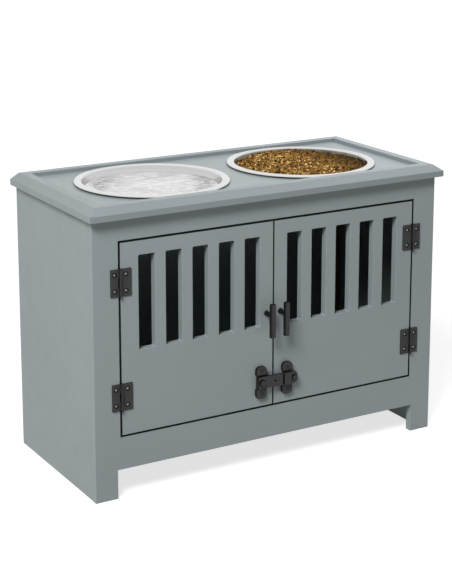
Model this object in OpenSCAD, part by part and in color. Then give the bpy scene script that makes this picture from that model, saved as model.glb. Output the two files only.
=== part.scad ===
// Elevated dog feeder with a storage cabinet, two lift-out steel bowls, two slotted
// doors on surface hinges, bar handles and a drop latch. Millimetres, +Z up, the
// origin on the floor under the middle of the whole feeder, +X to the right, and
// the doors face -Y. Parts are laid out from the face frame's front, at y = 0.

/* [Cabinet] */
// Width of the cabinet across its side panels
body_w = 586; // [560:1:660]
// Depth of the cabinet, from the face frame's front to the back panel
body_d = 263; // [240:1:288]
// Height of the cabinet, up to the underside of the top
body_h = 412; // [395:1:480]
// Thickness of the side, floor, frame and door boards
board_t = 12; // [10:0.5:15]
// Thickness of the back panel
back_t = 6; // [4:0.5:9]
// Clear height under the bottom rail, between the feet
kick_h = 43.5; // [25:0.5:55]
// Width of each front foot
foot_w = 35; // [24:0.5:40]

/* [Door opening] */
// Width of the frame beside the door opening
stile_w = 40.5; // [36:0.5:55]
// Height of the frame above the door opening
top_rail_h = 33.5; // [25:0.5:45]
// Height of the door opening's lower edge, which is also the floor panel's top
sill_z = 93; // [80:0.5:105]

/* [Top] */
// Overhang of the top past each side panel
over_side = 7; // [4:0.5:14]
// Overhang of the top past the face frame
over_front = 12.5; // [6:0.5:20]
// Overhang of the top past the back panel
over_back = 6; // [3:0.5:12]
// Thickness of the deck that holds the bowls
deck_t = 12.5; // [10:0.5:16]
// Height of the raised border above the deck
lip_h = 6; // [4.5:0.5:10]
// Width of the border's flat top
lip_w = 14.5; // [10:0.5:20]
// Height of the border's upright outer edge
fascia_h = 9; // [6:0.5:14]
// Width of the bevel at the front and the sides
bevel_w = 12.5; // [6:0.5:16]
// Width of the bevel at the back
back_bevel_w = 5; // [2:0.5:8]

/* [Bowls] */
// Distance between the two bowls' centres
bowl_pitch = 262; // [240:1:280]
// Gap between a bowl's rim and the raised border, front and back
rim_gap = 1.5; // [0.8:0.1:4]
// Width of a bowl's rim outside its wall
rim_w = 11.5; // [9:0.5:18]
// Depth of a bowl below its rim, outside
bowl_depth = 62; // [45:1:80]
// Angle of a bowl's wall above the level
wall_angle = 71; // [64:1:80]
// Radius between a bowl's wall and its base
base_fillet_r = 15; // [8:0.5:20]
// Thickness of the sheet steel
sheet_t = 1; // [0.7:0.1:1.2]
// Radius of the rolled rim, along the middle of the sheet
roll_r = 1.4; // [1.2:0.1:2]
// Slope of the rim down towards its edge, in degrees
rim_drop = 4; // [1:0.5:8]
// Radius between the wall and the rim
lip_bend_r = 2.5; // [2:0.1:3.5]
// Gap between a bowl's wall and its hole in the deck
hole_gap = 1.5; // [1:0.1:3]
// Gap under a bowl's rim, where it sits on the deck
seat_gap = 0.2; // [0.1:0.05:0.5]

/* [Doors] */
// Gap round each door and between the two
door_gap = 2; // [1.5:0.1:3]
// Gap between a closed door and the cleat that stops it
stop_gap = 0.3; // [0.2:0.05:0.8]
// Width of each slot
slot_w = 26; // [18:0.5:28]
// Height of each slot
slot_h = 138; // [100:1:150]
// Bar of board between two slots
slot_bar = 17.2; // [14:0.1:24]
// Board between a door's top edge and its slots
slot_top = 21; // [16:0.5:30]
// Board between the doors' meeting edge and the first slot
slot_inner = 22.3; // [20:0.1:26]
// Least board between the last slot and the hinge edge
slot_outer = 26; // [24:0.5:30]
// Corner radius of a slot
slot_corner_r = 2; // [1:0.5:4]

/* [Hinges] */
// Height of a hinge
leaf_h = 40; // [32:0.5:46]
// Reach of the frame's leaf from the pin
frame_leaf_w = 14.5; // [13:0.5:18]
// Reach of the door's leaf from the pin
door_leaf_w = 18; // [14:0.5:20]
// Thickness of a leaf
leaf_t = 1.5; // [1.2:0.1:2]
// Outer radius of the knuckles
knuckle_r = 2.75; // [2.4:0.05:3.2]
// Radius of the hinge pin
pin_r = 1.25; // [1:0.05:1.5]
// Distance from a door's top or bottom edge to a hinge's middle
hinge_inset = 57; // [40:1:70]
// Distance from a hinge's middle to its screws, up and down
leaf_screw_z = 12; // [9:0.5:12.5]
// Distance from the pin to the screws in the frame's leaf
frame_screw_x = 7.8; // [7.4:0.1:8.4]
// Distance from the pin to the screws in the door's leaf
door_screw_x = 9.7; // [8.5:0.1:10.4]

/* [Handles] */
// Distance from the doors' meeting line to a handle
handle_x = 12; // [9:0.5:18]
// Height of the handle's post above the door's lower edge
post_z = 143; // [120:1:150]
// Length of the bar
bar_len = 51; // [44:0.5:60]
// Length of the bar above the post
bar_above = 18; // [12:0.5:24]
// Radius of the bar
bar_r = 4.7; // [3:0.1:5]
// Radius of the post
post_r = 3.6; // [3:0.1:3.8]
// Distance from the door's face to the middle of the bar
bar_out = 17.8; // [14:0.1:24]

/* [Latch] */
// Distance from the doors' meeting line to each latch plate's middle
latch_x = 22.5; // [20:0.5:26]
// Height of the latch above the door's lower edge
latch_z = 38.3; // [34:0.1:46]
// Width of a latch plate's lobes
lobe_w = 18; // [16:0.5:20]
// Thickness of a latch plate's lobes
lobe_t = 5.5; // [5:0.1:7]
// Gap between the arm's edges and the lobes above and below it
lobe_gap = 1.2; // [0.6:0.1:2]
// Height of a latch plate
latch_plate_h = 50; // [46:0.5:56]
// Width of a latch plate behind the arm
latch_waist_w = 14; // [12:0.5:15.5]
// Thickness of a latch plate behind the arm
latch_plate_t = 3; // [2.5:0.1:4]
// Height of the arm
arm_h = 18.5; // [17:0.5:20]
// Distance of the arm's middle above the latch plates' middle
arm_rise = 1; // [0:0.1:2]
// Thickness of the arm
arm_t = 3.5; // [3.2:0.1:4.5]
// Reach of the arm past the doors' meeting line
arm_reach = 38; // [37:0.5:44]
// Reach of the arm past its pivot
arm_tail = 6.5; // [6.2:0.1:8]
// Corner radius of the arm's free end
arm_end_r = 6.5; // [5:0.5:8]
// Corner radius of the arm's end beside the pivot
arm_tail_r = 2.5; // [1:0.5:4]
// Thickness of the raised band on the arm
band_t = 2; // [0.6:0.1:2.5]
// Width of the raised band on the arm
band_w = 12.5; // [9:0.5:13]
// Distance from the doors' meeting line to the raised band's middle
band_x = 20.3; // [19:0.1:24]
// Radius of the arm's pivot
pivot_r = 3; // [2.6:0.1:3.4]
// Distance of the pivot from its plate's middle, away from the doors' meeting line
pivot_off = 1.5; // [0:0.1:1.8]
// Height of the pivot's head above the arm
pivot_proud = 2.8; // [1.5:0.1:3.5]
// Radius of the stud that the arm drops over
stud_r = 3; // [2.4:0.1:3.2]
// Radius of the finger knob at the arm's end
knob_r = 3.4; // [2.6:0.1:3.8]
// Distance from the arm's end to the finger knob's middle
knob_in = 6.6; // [4.5:0.1:7.5]
// Height of the finger knob above the arm
knob_t = 2.6; // [1.5:0.1:3.5]
// Radius of the dimple in the middle of the arm
dimple_r = 1.3; // [0.8:0.1:2]

/* [Fittings] */
// Thickness of the cleats
cleat_t = 12; // [11:0.5:12]
// Width of the cleats
cleat_w = 20; // [18:0.5:26]
// Lap of the stop cleat over the doors' top edges
stop_lap = 6.5; // [4:0.5:12]
// Radius of a wood screw
screw_r = 1.6; // [1.3:0.1:1.8]
// Radius of a wood screw's head
screw_head_r = 3.1; // [2.6:0.1:3.2]
// Length of a short wood screw, in the metal fittings
short_screw = 9.5; // [8:0.5:10.5]
// Length of a long wood screw, in the cleats and panels
long_screw = 20; // [18:0.5:20]
// Radius of a dowel
dowel_r = 3; // [2.5:0.1:3.5]
// Length of a dowel
dowel_len = 20; // [16:0.5:22]
// Radius of the machine screw in a handle
handle_screw_r = 2; // [1.6:0.1:2.2]
// Thickness of the steel corner brackets
bracket_t = 1.5; // [1.2:0.1:2]
// Width of the corner brackets
bracket_w = 16; // [14:0.5:20]
// Radial clearance of pins, pivots and screws in their holes
fit = 0.05; // [0.02:0.01:0.08]
// Clearance between the pieces that slide past each other
slide_gap = 0.3; // [0.25:0.05:0.4]

/* [Hidden] */

$fn = 48;
eps = 0.01;
past = 1;
through = 20;
left = -1;
right = 1;

paint = [0.53, 0.57, 0.59];
raw_wood = [0.75, 0.63, 0.47];
iron = [0.2, 0.2, 0.2];
zinc = [0.7, 0.7, 0.68];
steel = [0.82, 0.83, 0.84];

// The whole feeder, front to back, is centred on the origin.
handle_front = bar_out + bar_r + stop_gap;
front_y = (handle_front - body_d - over_back) / 2;

// Cabinet
inner_w = body_w - 2 * board_t;
side_x = inner_w / 2;
back_y = body_d - back_t;
floor_z = sill_z - board_t;
open_w = body_w - 2 * stile_w;
open_top = body_h - top_rail_h;

// Top
deck_z = body_h + deck_t;
border_h = deck_t + lip_h;
outer_x = body_w / 2 + over_side;
outer_front = -over_front;
outer_back = body_d + over_back;
deck_x = outer_x - bevel_w - lip_w;
deck_front = outer_front + bevel_w + lip_w;
deck_back = outer_back - back_bevel_w - lip_w;
bowl_y = (deck_front + deck_back) / 2;
rim_r = (deck_back - deck_front) / 2 - rim_gap;
mouth_r = rim_r - rim_w;
roll_end = -120;
hole_r = mouth_r + sheet_t / 2 + hole_gap;

// Doors
door_w = (open_w - 3 * door_gap) / 2;
door_z = sill_z + door_gap;
door_top = open_top - door_gap;
door_h = door_top - door_z;
door_back = board_t - stop_gap;
door_front = door_back - board_t;
slot_pitch = slot_w + slot_bar;
slot_count = floor((door_w - slot_inner - slot_outer + slot_bar) / slot_pitch);

// Hinges
hinge_x = open_w / 2 - door_gap / 2;
knuckle_gap = 0.2;
hinge_y = door_front - knuckle_gap - knuckle_r;
knuckle_h = leaf_h / 3;
leaf_clear = knuckle_r + slide_gap;
pin_tip = 1.5;
pin_head_t = 1;
pin_head_lap = 0.6;
hinge_low = door_z + hinge_inset;
hinge_high = door_top - hinge_inset;

// Latch
latch_mid_z = door_z + latch_z;
arm_mid_z = latch_mid_z + arm_rise;
arm_back = door_front - lobe_t - slide_gap;
arm_front = arm_back - arm_t;
pivot_sink = 1.5;
pivot_gap = 0.2;
pivot_head_r = pivot_r + 1.2;
pivot_dome_t = 0.5;
pivot_dome_in = 0.8;
pivot_head_t = pivot_proud + pivot_sink - pivot_gap - pivot_dome_t;
sink_r = pivot_head_r + 1.2;
pivot_x = latch_x + pivot_off;
stud_lap = 1.8;
stud_arm = latch_x + pivot_x;
stud_shift = stud_arm - sqrt(pow(stud_arm, 2) - pow(arm_h / 2, 2));
// The lower lobe and the upper one
lobe_h = [for (end = [-1, 1]) (latch_plate_h - arm_h) / 2 - lobe_gap - end * arm_rise];
lobe_corner_r = 6.5;
lobe_inner_r = 1;
dimple_x = 5;
dimple_deep = 0.8;
plate_screw_z = [for (h = lobe_h) (latch_plate_h - h) / 2];
plate_screw = short_screw + lobe_t - leaf_t;

// Handles
handle_screw_in = 8;
handle_head_t = 2.2;
handle_cross_w = 1;

// Fittings
cleat_end = 12;
cleat_screw_inset = 40;
floor_screw_inset = 62;
back_screw_low = 20;
back_screw_high = 70;
stop_cleat_z = door_top - stop_lap;
dowel_in = 8;
dowel_top = 45;
bracket_down = 22;
bracket_in = 28;
bracket_inset = 60;
bracket_screw_down = 13;
bracket_screw_in = 18;
screw_tip_r = 0.3;
cross_w = 0.8;
cross_deep = 0.8;

module from_front() translate([0, front_y, 0]) children();

// The right-hand piece, or its mirror image on the left
module on_side(side) mirror([side == left ? 1 : 0, 0, 0]) children();

// An outline drawn in X and Z, made t thick towards -Y
module upright(t) rotate([90, 0, 0]) linear_extrude(t) children();

module rounded_rect(w, h, r) {
    translate([-w / 2 + r, -h / 2]) square([w - 2 * r, h]);
    translate([-w / 2, -h / 2 + r]) square([w, h - 2 * r]);
    for (x = [-1, 1], y = [-1, 1])
        translate([x * (w / 2 - r), y * (h / 2 - r)]) circle(r);
}

// A countersunk screw that points along +Z, with its head's face at z = 0
module screw(length) {
    head_t = screw_head_r - screw_r;
    tip = screw_r;
    cross_l = screw_head_r * 1.3;
    difference() {
        union() {
            cylinder(h = head_t, r1 = screw_head_r, r2 = screw_r);
            translate([0, 0, head_t - eps]) cylinder(h = length - tip - head_t + eps, r = screw_r);
            translate([0, 0, length - tip]) cylinder(h = tip, r1 = screw_r, r2 = screw_tip_r);
        }
        for (turn = [0, 90]) rotate([0, 0, turn])
            translate([-cross_l / 2, -cross_w / 2, -eps]) cube([cross_l, cross_w, cross_deep]);
    }
}

// The hole that a screw leaves, with its countersink
module screw_hole(length) {
    head_t = screw_head_r - screw_r;
    translate([0, 0, -past]) cylinder(h = past + eps, r = screw_head_r + fit);
    cylinder(h = head_t, r1 = screw_head_r + fit, r2 = screw_r + fit);
    cylinder(h = length + fit, r = screw_r + fit);
}

// ---------------------------------------------------------------- screw places

module at_cleat_screws() {
    for (side = [left, right]) on_side(side) {
        for (y = [board_t + cleat_screw_inset, body_d / 2, body_d - board_t - cleat_screw_inset])
            translate([side_x - cleat_t, y, floor_z - cleat_w / 2]) rotate([0, 90, 0]) children();
        for (z = [sill_z + cleat_screw_inset, (sill_z + body_h) / 2, body_h - cleat_screw_inset])
            translate([side_x - cleat_t, back_y - cleat_w / 2, z]) rotate([0, 90, 0]) children();
        for (x = [inner_w / 8, inner_w * 3 / 8])
            translate([x, board_t + cleat_t, (open_top + body_h) / 2]) rotate([90, 0, 0]) children();
    }
}

module at_floor_screws() {
    for (side = [left, right]) on_side(side)
        for (y = [board_t + floor_screw_inset, body_d - board_t - floor_screw_inset])
            translate([side_x - cleat_t / 2, y, sill_z]) rotate([180, 0, 0]) children();
}

module at_back_screws() {
    for (side = [left, right]) on_side(side)
        for (z = [sill_z + back_screw_low, sill_z + (body_h - sill_z) / 3, body_h - back_screw_high])
            translate([side_x - cleat_t / 2, body_d, z]) rotate([90, 0, 0]) children();
}

module at_brackets() {
    for (side = [left, right]) on_side(side)
        for (y = [bracket_inset, body_d - bracket_inset]) translate([side_x, y, body_h]) children();
}

module at_bracket_screws() {
    at_brackets() {
        translate([-bracket_t, 0, -bracket_screw_down]) rotate([0, 90, 0]) children();
        translate([-bracket_screw_in, 0, -bracket_t]) children();
    }
}

module at_dowels() {
    for (side = [left, right]) on_side(side)
        for (z = [kick_h, body_h / 2, body_h - dowel_top])
            translate([side_x + board_t / 2, board_t - dowel_in, z]) rotate([-90, 0, 0]) children();
}

module at_frame_leaf_screws(side) {
    on_side(side) for (z = [hinge_low, hinge_high], dz = [-leaf_screw_z, leaf_screw_z])
        translate([hinge_x + frame_screw_x, -leaf_t, z + dz]) rotate([-90, 0, 0]) children();
}

module at_door_leaf_screws(side) {
    on_side(side) for (z = [hinge_low, hinge_high], dz = [-leaf_screw_z, leaf_screw_z])
        translate([hinge_x - door_screw_x, door_front - leaf_t, z + dz]) rotate([-90, 0, 0]) children();
}

module at_latch_screws(side) {
    on_side(side) for (dz = [-plate_screw_z[0], plate_screw_z[1]])
        translate([latch_x, door_front - lobe_t, latch_mid_z + dz]) rotate([-90, 0, 0]) children();
}

// ------------------------------------------------------------------- cabinet

module face_frame() color(paint) from_front() difference() {
    translate([0, board_t, 0]) upright(board_t) difference() {
        translate([-body_w / 2, 0]) square([body_w, body_h]);
        translate([-open_w / 2, sill_z]) square([open_w, open_top - sill_z]);
        translate([-body_w / 2 + foot_w, -past]) square([body_w - 2 * foot_w, kick_h + past]);
    }
    for (side = [left, right]) at_frame_leaf_screws(side) screw_hole(short_screw);
    at_cleat_screws() screw_hole(long_screw);
    at_dowels() cylinder(h = dowel_len + fit, r = dowel_r + fit);
}

module side_panel(side) color(paint) from_front() difference() {
    on_side(side) translate([side_x, board_t, 0]) cube([board_t, body_d - board_t, body_h]);
    at_cleat_screws() screw_hole(long_screw);
    at_bracket_screws() screw_hole(short_screw);
    at_dowels() cylinder(h = dowel_len + fit, r = dowel_r + fit);
}

module back_panel() color(paint) from_front() difference() {
    translate([-side_x, back_y, kick_h]) cube([inner_w, back_t, body_h - kick_h]);
    at_back_screws() screw_hole(long_screw);
}

module floor_panel() color(paint) from_front() difference() {
    translate([-side_x, board_t, floor_z]) cube([inner_w, back_y - board_t, board_t]);
    at_floor_screws() screw_hole(long_screw);
}

module floor_cleat(side) color(raw_wood) from_front() difference() {
    on_side(side) translate([side_x - cleat_t, board_t + cleat_end, floor_z - cleat_w])
        cube([cleat_t, back_y - board_t - 2 * cleat_end, cleat_w]);
    at_cleat_screws() screw_hole(long_screw);
    at_floor_screws() screw_hole(long_screw);
}

module corner_cleat(side) color(raw_wood) from_front() difference() {
    on_side(side) translate([side_x - cleat_t, back_y - cleat_w, sill_z])
        cube([cleat_t, cleat_w, body_h - sill_z]);
    at_cleat_screws() screw_hole(long_screw);
    at_back_screws() screw_hole(long_screw);
}

module door_stop_cleat() color(paint) from_front() difference() {
    translate([-side_x, board_t, stop_cleat_z]) cube([inner_w, cleat_t, body_h - stop_cleat_z]);
    at_cleat_screws() screw_hole(long_screw);
}

module frame_dowels() color(raw_wood) from_front() at_dowels() cylinder(h = dowel_len, r = dowel_r);

module cleat_screws() color(zinc) from_front() at_cleat_screws() screw(long_screw);

module floor_screws() color(zinc) from_front() at_floor_screws() screw(long_screw);

module back_screws() color(zinc) from_front() at_back_screws() screw(long_screw);

// ----------------------------------------------------------------------- top

module top_deck() color(paint) from_front() difference() {
    translate([-deck_x, deck_front, body_h]) cube([2 * deck_x, deck_back - deck_front, deck_t]);
    for (side = [left, right])
        translate([side * bowl_pitch / 2, bowl_y, body_h - past])
            cylinder(h = deck_t + 2 * past, r = hole_r, $fn = 96);
    at_bracket_screws() screw_hole(short_screw);
}

// The border's section: d is the distance in from its outer edge
function border_section(bevel) = [
    [0, 0], [bevel + lip_w, 0], [bevel + lip_w, border_h], [bevel, border_h], [0, fascia_h]
];

function mitre(x, y, bevel, x_dir, y_dir) = [
    [x, y], [x + x_dir * bevel_w, y + y_dir * bevel],
    [x + x_dir * (bevel_w + lip_w), y + y_dir * (bevel + lip_w)]
];

function flip(points) = [for (i = [len(points) - 1:-1:0]) points[i]];

module border_run(corners, angle, x, y, bevel) {
    run = 2 * (outer_x + outer_back);
    translate([0, 0, body_h]) intersection() {
        linear_extrude(border_h) polygon(corners);
        translate([x, y, 0]) rotate([0, 0, angle]) translate([-run / 2, 0, 0])
            rotate([90, 0, 90]) linear_extrude(run) polygon(border_section(bevel));
    }
}

module top_border_front() color(paint) from_front()
    border_run(concat(mitre(-outer_x, outer_front, bevel_w, 1, 1),
        flip(mitre(outer_x, outer_front, bevel_w, -1, 1))), 0, 0, outer_front, bevel_w);

module top_border_back() color(paint) from_front()
    border_run(concat(mitre(outer_x, outer_back, back_bevel_w, -1, -1),
        flip(mitre(-outer_x, outer_back, back_bevel_w, 1, -1))), 180, 0, outer_back, back_bevel_w);

module top_border_side(side) color(paint) from_front() on_side(side)
    border_run(concat(mitre(outer_x, outer_front, bevel_w, -1, 1),
        flip(mitre(outer_x, outer_back, back_bevel_w, -1, -1))), 90, outer_x, 0, bevel_w);

module top_brackets() color(zinc) from_front() difference() {
    at_brackets() {
        translate([-bracket_t, -bracket_w / 2, -bracket_down]) cube([bracket_t, bracket_w, bracket_down]);
        translate([-bracket_in, -bracket_w / 2, -bracket_t]) cube([bracket_in, bracket_w, bracket_t]);
    }
    at_bracket_screws() screw_hole(short_screw);
}

module bracket_screws() color(zinc) from_front() at_bracket_screws() screw(short_screw);

// --------------------------------------------------------------------- doors

module door(side) color(paint) from_front() difference() {
    on_side(side) translate([0, door_back, 0]) upright(board_t) difference() {
        translate([door_gap / 2, door_z]) square([door_w, door_h]);
        for (i = [0:slot_count - 1])
            translate([door_gap / 2 + slot_inner + slot_w / 2 + i * slot_pitch,
                door_top - slot_top - slot_h / 2]) rounded_rect(slot_w, slot_h, slot_corner_r);
    }
    at_door_leaf_screws(side) screw_hole(short_screw);
    at_latch_screws(side) screw_hole(plate_screw);
    at_handle(side) translate([0, 0, -board_t - past])
        cylinder(h = board_t + 2 * past, r = handle_screw_r + fit);
}

// -------------------------------------------------------------------- hinges

module knuckle(z0, z1) translate([hinge_x, hinge_y, z0]) cylinder(h = z1 - z0, r = knuckle_r);

module pin_bore() translate([hinge_x, hinge_y, -leaf_h]) cylinder(h = 2 * leaf_h, r = pin_r + fit);

module frame_leaf(side, z) color(iron) from_front() difference() {
    on_side(side) translate([0, 0, z]) difference() {
        union() {
            translate([hinge_x + leaf_clear, -leaf_t, -leaf_h / 2])
                cube([frame_leaf_w - leaf_clear, leaf_t, leaf_h]);
            for (end = [-1, 1]) {
                low = end < 0 ? -leaf_h / 2 : knuckle_h / 2;
                knuckle(low, low + knuckle_h);
                translate([hinge_x, -leaf_t, low]) cube([leaf_clear + eps, leaf_t, knuckle_h]);
            }
        }
        pin_bore();
    }
    at_frame_leaf_screws(side) screw_hole(short_screw);
}

module door_leaf(side, z) color(iron) from_front() difference() {
    on_side(side) translate([0, 0, z]) difference() {
        half = knuckle_h / 2 - knuckle_gap;
        union() {
            translate([hinge_x - door_leaf_w, door_front - leaf_t, -leaf_h / 2])
                cube([door_leaf_w - leaf_clear, leaf_t, leaf_h]);
            knuckle(-half, half);
            translate([hinge_x - leaf_clear - eps, door_front - leaf_t, -half])
                cube([leaf_clear + eps, leaf_t, 2 * half]);
        }
        pin_bore();
    }
    at_door_leaf_screws(side) screw_hole(short_screw);
}

module hinge_pin(side, z) color(iron) from_front() on_side(side) translate([hinge_x, hinge_y, z]) {
    translate([0, 0, -leaf_h / 2 - pin_tip]) cylinder(h = leaf_h + pin_tip + fit + eps, r = pin_r);
    translate([0, 0, leaf_h / 2 + fit]) cylinder(h = pin_head_t, r = pin_r + pin_head_lap);
}

module frame_leaf_screws() color(iron) from_front()
    for (side = [left, right]) at_frame_leaf_screws(side) screw(short_screw);

module door_leaf_screws(side) color(iron) from_front() at_door_leaf_screws(side) screw(short_screw);

// ------------------------------------------------------------------- handles

// The post's axis, with +Z pointing out of the door and z = 0 at its face
module at_handle(side) on_side(side)
    translate([handle_x, door_front, door_z + post_z]) rotate([90, 0, 0]) children();

module bar_body() translate([0, bar_above - bar_len, bar_out]) rotate([-90, 0, 0])
    cylinder(h = bar_len, r = bar_r);

module handle_bar(side) color(iron) from_front() at_handle(side) bar_body();

module handle_post(side) color(iron) from_front() at_handle(side) difference() {
    cylinder(h = bar_out, r = post_r);
    bar_body();
    translate([0, 0, -past]) cylinder(h = past + handle_screw_in + fit, r = handle_screw_r + fit);
}

module handle_screw(side) color(zinc) from_front() at_handle(side) {
    head_r = 2 * handle_screw_r;
    translate([0, 0, -board_t - eps]) cylinder(h = board_t + handle_screw_in + eps, r = handle_screw_r);
    translate([0, 0, -board_t - handle_head_t]) difference() {
        cylinder(h = handle_head_t, r = head_r);
        for (turn = [0, 90]) rotate([0, 0, turn]) translate([-head_r / 2, -handle_cross_w / 2, -eps])
            cube([head_r, handle_cross_w, handle_head_t / 2]);
    }
}

// --------------------------------------------------------------------- latch

// A lobe of that height, drawn above the plate's middle: well rounded above, nearly square below
module lobe_outline(h) translate([0, (latch_plate_h - h) / 2]) intersection() {
    translate([0, -h / 2]) rounded_rect(lobe_w, 2 * h, lobe_corner_r);
    rounded_rect(lobe_w, h, lobe_inner_r);
}

module latch_base(side) translate([side * latch_x, door_front, latch_mid_z]) {
    upright(latch_plate_t) translate([-latch_waist_w / 2, -plate_screw_z[0]])
        square([latch_waist_w, plate_screw_z[0] + plate_screw_z[1]]);
    for (end = [0, 1]) mirror([0, 0, 1 - end]) upright(lobe_t) lobe_outline(lobe_h[end]);
}

module at_pivot() translate([-pivot_x, 0, arm_mid_z]) rotate([90, 0, 0]) children();

module latch_plate() color(iron) from_front() difference() {
    latch_base(left);
    at_latch_screws(left) screw_hole(plate_screw);
    at_pivot() cylinder(h = through, r = pivot_r + fit);
}

module latch_pivot() color(iron) from_front() at_pivot() {
    head_base = pivot_gap - arm_front - pivot_sink;
    translate([0, 0, -door_front]) cylinder(h = head_base + door_front + eps, r = pivot_r);
    translate([0, 0, latch_plate_t - door_front])
        cylinder(h = lobe_t + slide_gap - pivot_gap - latch_plate_t, r = pivot_head_r);
    translate([0, 0, head_base]) cylinder(h = pivot_head_t, r = pivot_head_r);
    translate([0, 0, head_base + pivot_head_t - eps])
        cylinder(h = pivot_dome_t, r1 = pivot_head_r, r2 = pivot_head_r - pivot_dome_in);
}

module arm_stretch(x0, x1, r) translate([(x0 + x1) / 2, 0]) rounded_rect(x1 - x0, arm_h, r);

module arm_outline() {
    tail_x = -pivot_x - arm_tail;
    arm_stretch(tail_x, arm_reach - 2 * arm_end_r, arm_tail_r);
    arm_stretch(tail_x + 2 * arm_tail_r, arm_reach, arm_end_r);
}

module latch_arm() color(iron) from_front() difference() {
    union() {
        translate([0, arm_back, arm_mid_z]) upright(arm_t) arm_outline();
        translate([band_x - band_w / 2, arm_front + eps, arm_mid_z])
            upright(band_t + eps) translate([0, -arm_h / 2]) square([band_w, arm_h]);
        at_arm_front(arm_reach - knob_in, eps) cylinder(h = knob_t + eps, r = knob_r);
    }
    at_pivot() {
        cylinder(h = through, r = pivot_r + fit);
        translate([0, 0, -arm_front - pivot_sink]) cylinder(h = through, r = sink_r);
    }
    at_arm_front(dimple_x, dimple_deep) cylinder(h = through, r = dimple_r);
    stud_pocket();
}

// A place at that depth in the arm's front, with +Z pointing out of it
module at_arm_front(x, deep) translate([x, arm_front + deep, arm_mid_z]) rotate([90, 0, 0]) children();

// The pocket in the arm's back, open below, that drops over the stud
module stud_pocket() {
    half = stud_r + slide_gap;
    translate([latch_x, arm_back + past, arm_mid_z]) upright(past + stud_lap + slide_gap) {
        circle(half);
        translate([-half - stud_shift, -arm_h]) square([2 * half + stud_shift, arm_h]);
    }
}

module latch_plate_screws() color(iron) from_front()
    at_latch_screws(left) screw(plate_screw);

module at_stud() translate([latch_x, door_front, arm_mid_z]) rotate([90, 0, 0]) children();

module keeper_plate() color(iron) from_front() difference() {
    latch_base(right);
    at_latch_screws(right) screw_hole(plate_screw);
    at_stud() translate([0, 0, -past]) cylinder(h = through, r = stud_r + fit);
}

module keeper_stud() color(iron) from_front() at_stud()
    cylinder(h = lobe_t + slide_gap + stud_lap, r = stud_r);

module keeper_plate_screws() color(iron) from_front()
    at_latch_screws(right) screw(plate_screw);

// --------------------------------------------------------------------- bowls

function arc(c, r, a0, a1, n) =
    [for (i = [0:n]) let (a = a0 + (a1 - a0) * i / n) c + r * [cos(a), sin(a)]];

// One side of the sheet, off its middle by h: the bowl's inside has h > 0
function bowl_side(h) = let (
    roll_c = [rim_r - sheet_t / 2 - roll_r, seat_gap + sheet_t / 2 + roll_r],
    rim_end = roll_c + roll_r * [sin(rim_drop), cos(rim_drop)],
    bend_x = mouth_r + lip_bend_r * sin(wall_angle),
    rim_start_x = bend_x + lip_bend_r * sin(rim_drop),
    rim_start_z = rim_end[1] + (rim_end[0] - rim_start_x) * tan(rim_drop),
    bend_c = [bend_x, rim_start_z - lip_bend_r * cos(rim_drop)],
    wall_top = bend_c[1] + lip_bend_r * cos(wall_angle),
    base_z = rim_start_z + sheet_t - bowl_depth,
    foot_x = mouth_r - (wall_top - base_z) / tan(wall_angle) - base_fillet_r * tan(wall_angle / 2),
    base_c = [foot_x, base_z + base_fillet_r]
) concat(
    [[0, base_z + h]],
    arc(base_c, base_fillet_r - h, -90, wall_angle - 90, 10),
    arc(bend_c, lip_bend_r + h, wall_angle + 90, 90 - rim_drop, 7),
    arc(roll_c, roll_r + h, 90 - rim_drop, roll_end, 12)
);

module bowl(side) color(steel) from_front() translate([side * bowl_pitch / 2, bowl_y, deck_z])
    rotate_extrude($fn = 128)
        polygon(concat(bowl_side(sheet_t / 2), flip(bowl_side(-sheet_t / 2))));

face_frame();
side_panel(left);  // side_panel_left
side_panel(right);  // side_panel_right
back_panel();
floor_panel();
top_deck();
top_border_front();
top_border_back();
top_border_side(left);  // top_border_left
top_border_side(right);  // top_border_right
floor_cleat(left);  // floor_cleat_left
floor_cleat(right);  // floor_cleat_right
corner_cleat(left);  // corner_cleat_left
corner_cleat(right);  // corner_cleat_right
door_stop_cleat();
frame_dowels();
cleat_screws();
floor_screws();
back_screws();
top_brackets();
bracket_screws();
frame_leaf(left, hinge_high);  // frame_leaf_upper_left
frame_leaf(left, hinge_low);  // frame_leaf_lower_left
frame_leaf(right, hinge_high);  // frame_leaf_upper_right
frame_leaf(right, hinge_low);  // frame_leaf_lower_right
hinge_pin(left, hinge_high);  // hinge_pin_upper_left
hinge_pin(left, hinge_low);  // hinge_pin_lower_left
hinge_pin(right, hinge_high);  // hinge_pin_upper_right
hinge_pin(right, hinge_low);  // hinge_pin_lower_right
frame_leaf_screws();
door(left);  // door_left
door_leaf(left, hinge_high);  // door_leaf_upper_left
door_leaf(left, hinge_low);  // door_leaf_lower_left
door_leaf_screws(left);  // door_leaf_screws_left
handle_bar(left);  // handle_bar_left
handle_post(left);  // handle_post_left
handle_screw(left);  // handle_screw_left
latch_plate();
latch_pivot();
latch_plate_screws();
latch_arm();
door(right);  // door_right
door_leaf(right, hinge_high);  // door_leaf_upper_right
door_leaf(right, hinge_low);  // door_leaf_lower_right
door_leaf_screws(right);  // door_leaf_screws_right
handle_bar(right);  // handle_bar_right
handle_post(right);  // handle_post_right
handle_screw(right);  // handle_screw_right
keeper_plate();
keeper_stud();
keeper_plate_screws();
bowl(left);  // bowl_left
bowl(right);  // bowl_right
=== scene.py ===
"""Looks for the elevated dog feeder: boards, borders, bowls, hinges, handles and latch
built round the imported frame. Metres, +Z up, +X to the right, the doors face -Y."""
import math
import random

import bmesh
import bpy
from mathutils import Matrix, Vector

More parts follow.
